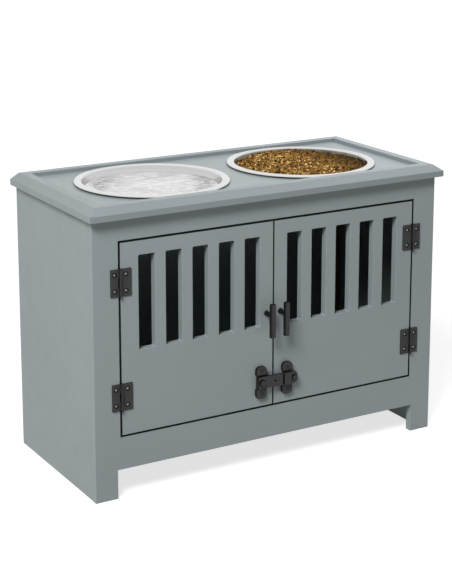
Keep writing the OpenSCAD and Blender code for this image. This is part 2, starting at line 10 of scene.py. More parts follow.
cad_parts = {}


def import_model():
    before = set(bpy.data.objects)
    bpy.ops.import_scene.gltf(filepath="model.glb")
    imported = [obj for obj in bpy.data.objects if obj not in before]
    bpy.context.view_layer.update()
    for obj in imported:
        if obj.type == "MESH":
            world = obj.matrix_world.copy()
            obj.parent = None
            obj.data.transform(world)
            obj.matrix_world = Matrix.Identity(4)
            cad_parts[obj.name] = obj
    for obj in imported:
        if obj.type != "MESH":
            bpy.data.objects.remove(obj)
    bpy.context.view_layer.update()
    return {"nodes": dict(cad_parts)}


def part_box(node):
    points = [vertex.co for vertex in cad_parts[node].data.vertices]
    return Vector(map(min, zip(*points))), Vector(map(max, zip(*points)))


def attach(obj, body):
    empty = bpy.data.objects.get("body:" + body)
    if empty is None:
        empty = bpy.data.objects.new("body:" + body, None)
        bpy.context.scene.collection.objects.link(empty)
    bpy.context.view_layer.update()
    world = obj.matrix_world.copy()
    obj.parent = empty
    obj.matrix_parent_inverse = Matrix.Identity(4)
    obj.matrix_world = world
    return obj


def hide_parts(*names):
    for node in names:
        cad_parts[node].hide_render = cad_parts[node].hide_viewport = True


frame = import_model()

MM = 0.001
SIDES = {"left": -1, "right": 1}
DECK_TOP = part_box("top_deck")[1].z

# Local X and Y of an outline, and its thickness, as directions in the row frame
FLAT = Matrix.Identity(4)
UPRIGHT = Matrix(((1, 0, 0, 0), (0, 0, -1, 0), (0, 1, 0, 0), (0, 0, 0, 1)))
SIDEWAYS = Matrix(((0, 0, 1, 0), (1, 0, 0, 0), (0, 1, 0, 0), (0, 0, 0, 1)))


# ------------------------------------------------------------------ outlines

def arc(centre, radius, start, end, steps):
    """Points along an arc, angles in degrees."""
    return [
        (
            centre[0] + radius * math.cos(math.radians(start + (end - start) * i / steps)),
            centre[1] + radius * math.sin(math.radians(start + (end - start) * i / steps)),
        )
        for i in range(steps + 1)
    ]


def rounded(points, radii, steps=4):
    """The closed outline with each corner rounded. One radius serves all, or there is one a corner."""
    if not hasattr(radii, "__len__"):
        radii = [radii] * len(points)
    made = []
    for i, radius in enumerate(radii):
        before, corner, after = (Vector(points[(i + k) % len(points)]) for k in (-1, 0, 1))
        if radius <= 0:
            made.append(tuple(corner))
            continue
        to_before = (before - corner).normalized()
        to_after = (after - corner).normalized()
        half = to_before.angle(to_after) / 2
        middle = corner + (to_before + to_after).normalized() * radius / math.sin(half)
        start = corner + to_before * radius / math.tan(half) - middle
        turn = start.angle_signed(corner + to_after * radius / math.tan(half) - middle)
        for k in range(steps + 1):
            made.append(tuple(middle + Matrix.Rotation(-turn * k / steps, 2) @ start))
    return made


def box_outline(x0, y0, x1, y1, radii=0, steps=4):
    """A rectangle. Separate radii start at (x0, y0) and run anticlockwise."""
    return rounded([(x0, y0), (x1, y0), (x1, y1), (x0, y1)], radii, steps)


def ring_outline(x, y, radius, steps=48):
    return arc((x, y), radius, 0, 360, steps)[:-1]


# -------------------------------------------------------------------- meshes

def slab(outlines, low, high, axes, edge, steps=2):
    """A board between low and high along its thickness: the first outline is its edge, the others
    are holes, and every edge is rounded."""
    curve = bpy.data.curves.new("outline", "CURVE")
    curve.dimensions = "2D"
    curve.fill_mode = "BOTH"
    curve.extrude = (high - low) / 2 - edge
    curve.bevel_depth = edge
    curve.bevel_resolution = steps
    curve.offset = -edge
    for outline in outlines:
        spline = curve.splines.new("POLY")
        spline.points.add(len(outline) - 1)
        for point, (x, y) in zip(spline.points, outline):
            point.co = (x, y, 0, 1)
        spline.use_cyclic_u = True
    holder = bpy.data.objects.new("outline", curve)
    bpy.context.scene.collection.objects.link(holder)
    bpy.context.view_layer.update()
    mesh = bpy.data.meshes.new_from_object(holder.evaluated_get(bpy.context.evaluated_depsgraph_get()))
    bpy.data.objects.remove(holder)
    bpy.data.curves.remove(curve)
    flip = -1 if axes is UPRIGHT else 1  # an upright outline's thickness runs along -Y
    mesh.transform(axes @ Matrix.Translation((0, 0, flip * (low + high) / 2)))
    return welded(mesh)


def welded(mesh):
    """Closes the seams between a mesh's strips and turns its faces outward."""
    bm = bmesh.new()
    bm.from_mesh(mesh)
    bmesh.ops.remove_doubles(bm, verts=bm.verts, dist=2e-6)
    bmesh.ops.recalc_face_normals(bm, faces=bm.faces)
    bm.to_mesh(mesh)
    bm.free()
    return mesh


def vert_ring(bm, radius, height, steps):
    """A ring of vertices round the Z axis, or one vertex on it."""
    if radius < 1e-7:
        return [bm.verts.new((0, 0, height))]
    turns = (2 * math.pi * i / steps for i in range(steps))
    return [bm.verts.new((radius * math.cos(a), radius * math.sin(a), height)) for a in turns]


def lathe(profile, place, steps=96):
    """A turned solid. profile is (radius, height) from the axis round to the axis again,
    or a closed section when neither end lies on the axis."""
    bm = bmesh.new()
    rings = [vert_ring(bm, radius, height, steps) for radius, height in profile]
    closed = len(rings[0]) > 1 and len(rings[-1]) > 1
    pairs = list(zip(rings, rings[1:])) + ([(rings[-1], rings[0])] if closed else [])
    for a, b in pairs:
        for i in range(steps):
            k = (i + 1) % steps
            if len(a) == 1:
                bm.faces.new((a[0], b[i], b[k]))
            elif len(b) == 1:
                bm.faces.new((a[i], b[0], a[k]))
            else:
                bm.faces.new((a[i], b[i], b[k], a[k]))
    mesh = bpy.data.meshes.new("turned")
    bmesh.ops.recalc_face_normals(bm, faces=bm.faces)
    bm.to_mesh(mesh)
    bm.free()
    mesh.transform(place)
    return mesh


def rod(radius, length, place, edge, steps=48):
    """A round bar from z = 0 to its length, its two rims rounded."""
    rim = [(radius - edge, edge), (radius - edge, length - edge)]
    profile = [(0, 0)] + arc(rim[0], edge, -90, 0, 4) + arc(rim[1], edge, 0, 90, 4) + [(0, length)]
    return lathe(profile, place, steps)


def joined(meshes):
    """One mesh from several."""
    bm = bmesh.new()
    for mesh in meshes:
        bm.from_mesh(mesh)
    made = bpy.data.meshes.new("joined")
    bm.to_mesh(made)
    bm.free()
    return made


def mirrored(mesh):
    """The mesh on the other side of the plane X = 0."""
    mesh.transform(Matrix.Scale(-1, 4, (1, 0, 0)))
    mesh.flip_normals()
    return mesh


def paint_faces(mesh, index, chosen):
    """Gives the faces for which chosen(centre, normal) holds the material of that index."""
    for face in mesh.polygons:
        if chosen(face.center, face.normal):
            face.material_index = index


def on_side(mesh, side):
    """A mesh that was built on the right, put on that side."""
    return mirrored(mesh) if side == "left" else mesh


def add(name, mesh, body, materials, nodes=(), sharp=38, weighted=True):
    """A piece of the object: it rides on its body and stands for its nodes."""
    mesh.name = name
    for material in materials if isinstance(materials, list) else [materials]:
        mesh.materials.append(material)
    mesh.shade_smooth()
    mesh.set_sharp_from_angle(angle=math.radians(sharp))
    piece = bpy.data.objects.new(name, mesh)
    bpy.context.scene.collection.objects.link(piece)
    if weighted:
        even = piece.modifiers.new("even_shading", "WEIGHTED_NORMAL")
        even.keep_sharp = True
        even.weight = 100
    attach(piece, body)
    if nodes:
        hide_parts(*nodes)
    return piece


# ----------------------------------------------------------------- materials

class Nodes:
    """Short calls that add to a node tree. A value that is a socket is linked."""

    def __init__(self, tree):
        self.tree = tree

    def set(self, node, values):
        for socket, value in values.items():
            if isinstance(value, bpy.types.NodeSocket):
                self.tree.links.new(value, node.inputs[socket])
            else:
                node.inputs[socket].default_value = value

    def node(self, kind, inputs=(), **settings):
        node = self.tree.nodes.new("ShaderNode" + kind)
        for key, value in settings.items():
            setattr(node, key, value)
        self.set(node, dict(inputs))
        return node

    def place(self):
        return self.node("TexCoord").outputs["Object"]

    def noise(self, vector, scale, detail=2.0, rough=0.5):
        values = {"Vector": vector, "Scale": scale, "Detail": detail, "Roughness": rough}
        return self.node("TexNoise", values).outputs["Fac"]

    def spread(self, value, low, high, to_low, to_high):
        values = {"Value": value, "From Min": low, "From Max": high, "To Min": to_low, "To Max": to_high}
        return self.node("MapRange", values).outputs["Result"]

    def ramp(self, value, stops):
        node = self.node("ValToRGB", {"Fac": value})
        band = node.color_ramp
        band.elements[0].position, band.elements[1].position = stops[0][0], stops[-1][0]
        for position, colour in stops[1:-1]:
            band.elements.new(position)
        for element, (position, colour) in zip(band.elements, stops):
            element.color = (*colour, 1)
        return node.outputs["Color"]

    def mix(self, share, first, second, blend="MIX"):
        """One colour over another. A Mix node's colour sockets are its inputs 6 and 7."""
        first, second = (c if isinstance(c, bpy.types.NodeSocket) else (*c, 1) for c in (first, second))
        values = {0: share, 6: first, 7: second}
        return self.node("Mix", values, data_type="RGBA", blend_type=blend).outputs[2]

    def math(self, operation, first, second=0.0):
        return self.node("Math", {0: first, 1: second}, operation=operation).outputs[0]

    def vector_math(self, operation, first, second=(0.0, 0.0, 0.0)):
        """The node itself, since some operations give a vector and some a value."""
        return self.node("VectorMath", {0: first, 1: second}, operation=operation)

    def about(self, place, centre):
        """The place as seen from a centre."""
        return self.vector_math("ADD", place, tuple(-c for c in centre)).outputs["Vector"]

    def normal(self):
        return self.node("TexCoord").outputs["Normal"]

    def bump(self, height, strength, distance, normal=None):
        values = {"Height": height, "Strength": strength, "Distance": distance}
        if normal is not None:
            values["Normal"] = normal
        return self.node("Bump", values).outputs["Normal"]

    def background_share(self):
        """1 for rays from the camera, from glossy surfaces and through clear ones."""
        rays = self.node("LightPath").outputs
        seen = self.math("MAXIMUM", rays["Is Camera Ray"], rays["Is Glossy Ray"])
        return self.math("MAXIMUM", seen, rays["Is Transmission Ray"])


class Finish(Nodes):
    """A material on the principled shader. Keywords name the shader's sockets."""

    def __init__(self, name, **values):
        self.material = bpy.data.materials.new(name)
        self.material.use_nodes = True
        super().__init__(self.material.node_tree)
        self.shader = self.tree.nodes["Principled BSDF"]
        self.finish(**values)

    def finish(self, **values):
        self.set(self.shader, {key.replace("_", " "): value for key, value in values.items()})
        return self.material


def shade(colour, factor):
    """The colour made darker by a factor under 1, or lighter by one over it."""
    return tuple(c * factor for c in colour)


SLATE = (0.272, 0.312, 0.322)
MOTTLE = 0.03
# Painted shade in the gaps round the doors: how dark the gap edges are painted, and over what depth behind
# the front face
GAP_SHADE_TONE = 0.06
GAP_SHADE_FULL, GAP_SHADE_END = 3.5 * MM, 5 * MM


def painted_board(name, colour, satin=0.4, shade_front=None):
    """Satin paint rolled on fibreboard: faint broad mottling, orange peel and uneven gloss. With
    shade_front, a gap's edges carry painted shade: dark from that front face to a few millimetres behind
    it."""
    f = Finish(name, Specular_IOR_Level=0.5)
    place = f.place()
    mottles = [(0.3, shade(colour, 1 - MOTTLE)), (0.7, shade(colour, 1 + MOTTLE))]
    tone = f.ramp(f.noise(place, 5.0, 3.0), mottles)
    fleck = f.noise(place, 900.0, 2.0)
    tone = f.mix(f.spread(fleck, 0.35, 0.7, 0.0, 0.09), tone, shade(colour, 0.8))
    if shade_front is not None:
        depth = f.node("SeparateXYZ", {"Vector": place}).outputs["Y"]
        lit = f.spread(depth, shade_front + GAP_SHADE_FULL, shade_front + GAP_SHADE_END, 0.0, 1.0)
        tone = f.mix(lit, shade(colour, GAP_SHADE_TONE), tone)
    gloss = f.spread(f.noise(place, 45.0, 3.0), 0.3, 0.7, satin, satin + 0.09)
    peel = f.bump(f.noise(place, 520.0, 2.0), 0.12, 0.0006)
    roll = f.bump(f.noise(place, 1500.0, 1.0), 0.06, 0.0003, peel)
    return f.finish(Base_Color=tone, Roughness=gloss, Normal=roll)


def bare_wood(name, shade_factor=1.0):
    """Planed softwood: long grain with darker late wood, and fine pores."""
    f = Finish(name, Specular_IOR_Level=0.3)
    place = f.place()
    stretched = f.node("Mapping", {"Vector": place, "Scale": (90.0, 9.0, 9.0)}).outputs["Vector"]
    rings = f.noise(stretched, 2.2, 4.0, 0.6)
    grain = ((0.3, (0.62, 0.44, 0.26)), (0.52, (0.52, 0.34, 0.18)), (0.7, (0.68, 0.5, 0.3)))
    # A shade_factor under 1 darkens the whole wood as painted shade.
    tone = f.ramp(rings, [(position, shade(colour, shade_factor)) for position, colour in grain])
    pores = f.noise(place, 1400.0, 2.0)
    tone = f.mix(f.spread(pores, 0.55, 0.75, 0.0, 0.35), tone, shade((0.25, 0.15, 0.08), shade_factor))
    return f.finish(Base_Color=tone, Roughness=f.spread(rings, 0.2, 0.8, 0.55, 0.7),
                    Normal=f.bump(rings, 0.25, 0.0004))


def dark_iron(name, factor=1.0):
    """Dark powder coat with painted shade: faces turned away from the front are painted near black, those
    open to the front keep the coat's tone.
    """
    f = Finish(name, Specular_IOR_Level=0.22)
    place = f.place()
    lit_way = f.vector_math("DOT_PRODUCT", f.normal(), (0.34, -0.94, 0.0)).outputs["Value"]
    lit_share = f.spread(lit_way, 0.32, 0.86, 0.0, 1.0)
    grain = f.noise(place, 1300.0, 3.0, 0.6)
    cloud = f.noise(place, 160.0, 2.0)
    open_tone = f.ramp(cloud, [(0.3, shade((0.037, 0.036, 0.0355), factor)),
                               (0.7, shade((0.047, 0.0455, 0.045), factor))])
    # Painted shade: near black on faces turned away from the front.
    tone = f.mix(lit_share, (0.003, 0.0035, 0.0035), open_tone)
    fleck = shade((0.075, 0.073, 0.072), factor)
    tone = f.mix(f.spread(grain, 0.5, 0.8, 0.0, 0.4), tone, fleck)
    gloss = f.spread(grain, 0.3, 0.7, 0.5, 0.64)
    return f.finish(Base_Color=tone, Roughness=gloss, Normal=f.bump(grain, 0.3, 0.00025))


def screw_iron(name):
    """The same coat on the screws' domed heads, rubbed shiny by the driver."""
    f = Finish(name, Metallic=0.85, Specular_IOR_Level=0.6)
    place = f.place()
    grain = f.noise(place, 1500.0, 2.0)
    tone = f.ramp(grain, [(0.35, (0.22, 0.215, 0.21)), (0.75, (0.5, 0.49, 0.48))])
    return f.finish(Base_Color=tone, Roughness=f.spread(grain, 0.3, 0.7, 0.2, 0.34),
                    Normal=f.bump(grain, 0.15, 0.0002))


def zinc_steel(name):
    """Bright zinc plate with soft spangles."""
    f = Finish(name, Metallic=1.0)
    place = f.place()
    cells = f.node("TexVoronoi", {"Vector": place, "Scale": 260.0}).outputs["Color"]
    tone = f.mix(0.12, (0.62, 0.62, 0.6), cells)
    return f.finish(Base_Color=tone, Roughness=f.spread(f.noise(place, 300.0), 0.3, 0.7, 0.28, 0.42),
                    Normal=f.bump(f.noise(place, 900.0), 0.1, 0.0002))


# How strongly each bowl's wall carries the painted shade and reflection of its food, and up to what height
# over the deck
WALL_FOOD_SHADE = {"left": 0.0, "right": 0.9}
FOOD_SHADE_FULL, FOOD_SHADE_END = 1.2 * MM, 2.8 * MM


def spun_steel(name, centre, food_shade):
    """Stainless steel spun on a lathe: fine lines that run round the bowl and faint smudges. Painted shade
    darkens the steep inner wall and rim edge, and where food lies a brown band is painted low on the wall
    as its shade and reflection."""
    f = Finish(name, Metallic=1.0)
    place = f.place()
    split = f.node("SeparateXYZ", {"Vector": f.about(place, centre)})
    x, y, z = (split.outputs[k] for k in "XYZ")
    turn = f.math("ARCTAN2", y, x)
    out = f.math("SQRT", f.math("ADD", f.math("MULTIPLY", x, x), f.math("MULTIPLY", y, y)))
    track = f.node("CombineXYZ", {"X": f.math("MULTIPLY", turn, 0.35),
                                  "Y": f.math("MULTIPLY", out, 900.0),
                                  "Z": f.math("MULTIPLY", z, 900.0)}).outputs["Vector"]
    lines = f.noise(track, 1.0, 3.0, 0.6)
    smudge = f.noise(place, 38.0, 3.0)
    tone = f.ramp(lines, [(0.3, (0.65, 0.655, 0.66)), (0.7, (0.8, 0.8, 0.8))])
    # Painted shade: the steep faces of the inner wall, and of the rolled rim above the deck, are painted
    # darker.
    up = f.node("SeparateXYZ", {"Vector": f.normal()}).outputs["Z"]
    inside = f.spread(up, -0.1, 0.1, 0.0, 1.0)
    over_deck = f.spread(z, DECK_TOP - 0.5 * MM, DECK_TOP, 0.0, 1.0)
    steep_shade = f.math("MULTIPLY", f.spread(up, 0.0, 0.45, 1.0, 0.0), f.math("MAXIMUM", inside, over_deck))
    tone = f.mix(steep_shade, tone, (0.1, 0.1, 0.1))
    # Painted shade and painted reflection of the food: a brown streaked band low on the wall.
    if food_shade:
        food_shaded = f.spread(z, DECK_TOP + FOOD_SHADE_FULL, DECK_TOP + FOOD_SHADE_END, food_shade, 0.0)
        food_shade_streaks = f.ramp(smudge, [(0.35, (0.05, 0.04, 0.024)), (0.65, (0.2, 0.17, 0.12))])
        tone = f.mix(food_shaded, tone, food_shade_streaks)
    gloss = f.math("ADD", f.spread(lines, 0.3, 0.7, 0.15, 0.23), f.spread(smudge, 0.4, 0.7, 0.0, 0.06))
    return f.finish(Base_Color=tone, Roughness=gloss, Normal=f.bump(lines, 0.1, 0.00012))


def clear_water(name, centre, reach):
    """Water over bright steel, its light painted into its colour: a grey pool stands for the lit steel
    below, painted highlights lie in a net of white lines, its edge is a thin grey line of painted shade,
    and two painted dark reflections lie towards its ends."""
    f = Finish(name, IOR=1.333, Transmission_Weight=0.35)
    place = f.place()
    flat = f.vector_math("MULTIPLY", f.about(place, centre), (1.0, 1.0, 0.0)).outputs["Vector"]
    out = f.vector_math("LENGTH", flat).outputs["Value"]
    along = f.vector_math("DOT_PRODUCT", flat, (0.86, -0.5, 0.0)).outputs["Value"]
    along = f.math("ABSOLUTE", along)
    wobble = f.node("TexNoise", {"Vector": place, "Scale": 24.0, "Detail": 2.0}).outputs["Color"]
    bent = f.mix(0.014, place, wobble, "LINEAR_LIGHT")
    cells = f.node("TexVoronoi", {"Vector": bent, "Scale": 44.0}, feature="DISTANCE_TO_EDGE")
    # Painted highlights: a net of white lines where the light gathers.
    caustic_net = f.spread(cells.outputs["Distance"], 0.0, 0.1, 1.0, 0.0)
    caustic_net = f.math("POWER", caustic_net, 3.0)
    cloud = f.noise(place, 22.0, 4.0, 0.6)
    # Painted light: the grey pool stands for the lit steel seen through the water.
    lit_bed_tones = [(0.36, (0.66, 0.665, 0.67)), (0.5, (0.78, 0.785, 0.79)), (0.64, (0.88, 0.88, 0.88))]
    painted_pool = f.ramp(cloud, lit_bed_tones)
    # Painted reflections: two darker patches towards the ends.
    ends = f.math("MULTIPLY", f.spread(along, 0.58 * reach, 0.72 * reach, 0.0, 1.0),
                  f.spread(along, 0.84 * reach, 0.94 * reach, 1.0, 0.0))
    reflection_streak = f.spread(f.noise(place, 130.0, 3.0, 0.7), 0.4, 0.55, 0.15, 1.0)
    painted_pool = f.mix(f.math("MULTIPLY", ends, reflection_streak), painted_pool, (0.36, 0.365, 0.37))
    tone = f.mix(f.math("MULTIPLY", caustic_net, f.spread(cloud, 0.4, 0.5, 0.4, 1.0)), painted_pool, (1.0, 1.0, 1.0))
    # Painted shade: a thin grey line at the edge.
    tone = f.mix(f.spread(out, reach - 1.8 * MM, reach - 0.9 * MM, 0.0, 0.7), tone, (0.3, 0.3, 0.31))
    wavelets = f.noise(place, 110.0, 3.0, 0.55)
    return f.finish(Base_Color=tone, Roughness=f.spread(f.noise(place, 60.0), 0.3, 0.7, 0.03, 0.12),
                    Normal=f.bump(wavelets, 0.2, 0.0008))


def dry_food(name):
    """Baked pellets: each has its own tone, darkened in places by painted shade, with a crumbly skin and
    dark pits.
    """
    f = Finish(name, Specular_IOR_Level=0.15)
    place = f.place()
    own = f.node("Attribute", attribute_name="pellet_tone_and_shade").outputs["Fac"]
    tone = f.ramp(own, [(0.0, (0.012, 0.006, 0.001)), (0.35, (0.14, 0.07, 0.012)),
                        (0.7, (0.34, 0.185, 0.042)), (1.0, (0.78, 0.52, 0.2))])
    crumb = f.noise(place, 1500.0, 3.0, 0.65)
    tone = f.mix(f.spread(crumb, 0.5, 0.75, 0.0, 0.6), tone, (0.06, 0.024, 0.003))
    return f.finish(Base_Color=tone, Roughness=f.spread(crumb, 0.3, 0.7, 0.5, 0.7),
                    Normal=f.bump(crumb, 0.5, 0.0006))


PAINT = painted_board("painted_board", SLATE)
# Painted shade: the same paint, made darker on the borders and slightly on the deck
SHADED_BORDER_PAINT = painted_board("painted_border_shaded", shade(SLATE, 0.86), satin=0.32)
SHADED_DECK_PAINT = painted_board("painted_deck_shaded", shade(SLATE, 0.98), satin=0.32)
# Boards whose gap edges carry painted shade
PAINT_GAP_SHADE = painted_board("painted_board_gap_shade", SLATE, shade_front=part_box("door_left")[0].y)
WOOD = bare_wood("bare_wood")
# A darker copy of the wood: painted shade for the cleats seen through the slots
SHADED_WOOD = bare_wood("shaded_wood", 0.3)
IRON = dark_iron("dark_iron")
SCREW_IRON = screw_iron("dark_iron_screws")
# A near-black copy of the coat: painted shade in screw holes and in the arm's recesses
RECESS_SHADE = dark_iron("dark_iron_recess_shade", 0.2)
ZINC = zinc_steel("zinc_steel")


# ------------------------------------------------------------------- cabinet

EDGE = 0.6 * MM
DOOR_GAP = 2.7 * MM
FOOT_WIDTH = 35 * MM
KICK_HEIGHT = 43.5 * MM


def ends(node, axis):
    """Where a node begins and ends along an axis."""
    low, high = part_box(node)
    return low["xyz".index(axis)], high["xyz".index(axis)]


def board_mesh(node, axis, edge=EDGE, holes=()):
    """A plain rectangular board in a node's place, thin along that axis."""
    low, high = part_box(node)
    u, v = {"x": (1, 2), "y": (0, 2), "z": (0, 1)}[axis]
    w = "xyz".index(axis)
    axes = {"x": SIDEWAYS, "y": UPRIGHT, "z": FLAT}[axis]
    outline = box_outline(low[u], low[v], high[u], high[v])
    return slab([outline, *holes], low[w], high[w], axes, edge)


def face_frame():
    """The front frame: one board with the doors' opening and the cut-out that leaves two feet."""
    x0, x1 = ends("face_frame", "x")
    y0, y1 = ends("face_frame", "y")
    z1 = ends("face_frame", "z")[1]
    foot0, foot1 = x0 + FOOT_WIDTH, x1 - FOOT_WIDTH
    outer = [(x0, 0), (foot0, 0), (foot0, KICK_HEIGHT), (foot1, KICK_HEIGHT),
             (foot1, 0), (x1, 0), (x1, z1), (x0, z1)]
    opening = DOOR_GAP + ends("door_right", "x")[1]
    door_low, door_high = ends("door_left", "z")
    sill, head = door_low - DOOR_GAP, door_high + DOOR_GAP
    hole = box_outline(-opening, sill, opening, head)
    mesh = slab([outer, hole], y0, y1, UPRIGHT, EDGE)

    # Faces round the doors' opening take the painted gap shade.
    def shaded_round_the_doors(centre, normal):
        level = sill - MM < centre.z < head + MM
        return abs(normal.y) < 0.9 and level and abs(centre.x) < opening + MM

    paint_faces(mesh, 1, shaded_round_the_doors)
    add("front_frame", mesh, "cabinet", [PAINT, PAINT_GAP_SHADE], ["face_frame"])


def cabinet():
    """The front frame and the side boards. The boards inside and at the back are the CAD's own."""
    face_frame()
    for side in SIDES:
        mesh = board_mesh("side_panel_" + side, "x")
        add(side + "_side_board", mesh, "cabinet", PAINT, ["side_panel_" + side])
    for node in ("back_panel", "floor_panel", "door_stop_cleat"):
        paint_node(node, PAINT)


def paint_node(node, material):
    """Gives a look to a node whose own mesh is shown."""
    slots = frame["nodes"][node].data.materials
    slots.clear()
    slots.append(material)


# ----------------------------------------------------------------------- top

BEVEL = {"front": 12.5 * MM, "back": 5 * MM, "left": 12.5 * MM, "right": 12.5 * MM}
LIP = 14.5 * MM
FASCIA = 9 * MM
SEAM = 0.06 * MM
BORDER_ROUNDING = [0.4 * MM, 0.2 * MM, 0.9 * MM, 1.6 * MM, 1.4 * MM]
HOLE_MARGIN = 9.5 * MM


def across(distance, own, other):
    """How far the mitre has come in along the neighbour's side at that distance in from the edge."""
    return distance * other / own if distance < own else other + distance - own


def border(edge_name):
    """One mitred strip: its section runs from the outer edge over the bevel to the raised lip."""
    node = "top_border_" + edge_name
    x1 = ends("top_border_right", "x")[1]
    y0, y1 = ends("top_border_front", "y")[0], ends("top_border_back", "y")[1]
    z0, z1 = ends(node, "z")
    own = BEVEL[edge_name]
    corners = [(0, z0), (own + LIP, z0), (own + LIP, z1), (own, z1), (0, z0 + FASCIA)]
    section = rounded(corners, BORDER_ROUNDING)
    rings = []
    for end in (0, 1):
        ring = []
        for d, z in section:
            if edge_name in ("front", "back"):
                x = x1 - SEAM - across(d, own, BEVEL["left"])
                y = y0 + d if edge_name == "front" else y1 - d
                ring.append((x if end else -x, y, z))
            else:
                near = y0 + SEAM + across(d, own, BEVEL["front"])
                far = y1 - SEAM - across(d, own, BEVEL["back"])
                ring.append((SIDES[edge_name] * (x1 - d), far if end else near, z))
        rings.append(ring)
    bm = bmesh.new()
    first, last = ([bm.verts.new(p) for p in ring] for ring in rings)
    for i in range(len(first)):
        k = (i + 1) % len(first)
        bm.faces.new((first[i], first[k], last[k], last[i]))
    bm.faces.new(first)
    bm.faces.new(last)
    bmesh.ops.recalc_face_normals(bm, faces=bm.faces)
    mesh = bpy.data.meshes.new(node)
    bm.to_mesh(mesh)
    bm.free()
    add(edge_name + "_border", mesh, "cabinet", SHADED_BORDER_PAINT, [node], sharp=30)


def top():
    """The four borders, and the deck with a hole under each bowl's rim."""
    for edge_name in BEVEL:
        border(edge_name)
    holes = []
    for side in SIDES:
        x0, x1 = ends("bowl_" + side, "x")
        y0, y1 = ends("bowl_" + side, "y")
        holes.append(ring_outline((x0 + x1) / 2, (y0 + y1) / 2, (x1 - x0) / 2 - HOLE_MARGIN, 96))
    mesh = board_mesh("top_deck", "z", 0.4 * MM, holes)
    add("deck_board", mesh, "cabinet", SHADED_DECK_PAINT, ["top_deck"])


# --------------------------------------------------------------------- bowls

SHEET = 1.0 * MM
ROLL = 1.4 * MM
BEND = 2.5 * MM
RIM_WIDTH = 11.5 * MM
RIM_DROP = 4
WALL_ANGLE = 71
BASE_FILLET = 15 * MM
BASE_POINTS, FILLET_STEPS = 6, 12
WALL_POINTS = BASE_POINTS + FILLET_STEPS + 2  # from a side's centre to the top of its wall


def bowl_lines(side):
    """The middle line of a bowl's sheet in (radius, height): the centres of its two upper arcs, the
    height of its base and the radius at which the base's fillet starts."""
    x0, x1 = ends("bowl_" + side, "x")
    z0 = ends("bowl_" + side, "z")[0]
    rim = (x1 - x0) / 2
    mouth = rim - RIM_WIDTH
    drop, wall = math.radians(RIM_DROP), math.radians(WALL_ANGLE)
    roll = (rim - SHEET / 2 - ROLL, DECK_TOP + 0.2 * MM + SHEET / 2 + ROLL)
    rim_end = (roll[0] + ROLL * math.sin(drop), roll[1] + ROLL * math.cos(drop))
    bend_x = mouth + BEND * math.sin(wall)
    start_x = bend_x + BEND * math.sin(drop)
    start_z = rim_end[1] + (rim_end[0] - start_x) * math.tan(drop)
    bend = (bend_x, start_z - BEND * math.cos(drop))
    base = z0 + SHEET / 2
    foot = mouth - (bend[1] + BEND * math.cos(wall) - base) / math.tan(wall)
    foot -= BASE_FILLET * math.tan(wall / 2)
    return roll, bend, base, foot


def sheet_side(side, h):
    """A face of a bowl's sheet, h over its middle line, from the centre out to the rolled rim."""
    roll, bend, base, foot = bowl_lines(side)
    return (
        [(foot * k / BASE_POINTS, base + h) for k in range(BASE_POINTS)]
        + arc((foot, base + BASE_FILLET), BASE_FILLET - h, -90, WALL_ANGLE - 90, FILLET_STEPS)
        + arc(bend, BEND + h, WALL_ANGLE + 90, 90 - RIM_DROP, 10)
        + arc(roll, ROLL + h, 90 - RIM_DROP, -120, 14)
    )


def bowl_centre(side):
    """The foot of a bowl's axis on the floor."""
    low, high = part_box("bowl_" + side)
    return ((low.x + high.x) / 2, (low.y + high.y) / 2, 0.0)


def inner_radius(side, height):
    """The radius of a bowl's inside at that height."""
    points = sheet_side(side, SHEET / 2)[:WALL_POINTS + 1]
    for (r0, z0), (r1, z1) in zip(points, points[1:]):
        if z0 <= height <= z1 and z1 > z0:
            return r0 + (r1 - r0) * (height - z0) / (z1 - z0)
    return points[-1][0]


def bowl(side):
    """A bowl spun from one sheet."""
    centre = bowl_centre(side)
    profile = sheet_side(side, SHEET / 2) + sheet_side(side, -SHEET / 2)[::-1]
    mesh = lathe(profile, Matrix.Translation(centre), 192)
    steel = spun_steel("stainless_" + side, centre, WALL_FOOD_SHADE[side])
    add(side + "_steel_bowl", mesh, side + "_bowl", steel, ["bowl_" + side], sharp=50,
        weighted=False)


WATER_DROP = 7.2 * MM
WATER_PLAY = 0.15 * MM
WAVES, WAVE_LENGTHS, WAVE_SLOPE = 9, (11, 42), 0.006
CRESTS, CREST_REACH, CREST_HEIGHT, CREST_WIDTH = 34, 96 * MM, 0.7 * MM, 2.8 * MM
CALM_EDGE = 14 * MM


def wave_height(x, y, waves, cells):
    """Short crossing waves and a net of sharp crests, as after a bowl is set down."""
    height = sum(size * math.sin(kx * x + ky * y + shift) for size, kx, ky, shift in waves)
    near = sorted((x - cx) ** 2 + (y - cy) ** 2 for cx, cy in cells)[:2]
    crest = math.sqrt(near[1]) - math.sqrt(near[0])
    return height + CREST_HEIGHT * math.exp(-((crest / CREST_WIDTH) ** 2))


def ripples():
    """The waves as (height, x rate, y rate, shift), and the middles of the cells between the crests."""
    rng = random.Random(11)
    waves = []
    for _ in range(WAVES):
        length = rng.uniform(*WAVE_LENGTHS) * MM
        angle = rng.uniform(0, math.pi)
        k = 2 * math.pi / length
        waves.append((length * WAVE_SLOPE, k * math.cos(angle), k * math.sin(angle), rng.uniform(0, 6.28)))
    cells = []
    for _ in range(CRESTS):
        out, turn = CREST_REACH * math.sqrt(rng.random()), rng.uniform(0, 2 * math.pi)
        cells.append((out * math.cos(turn), out * math.sin(turn)))
    return waves, cells


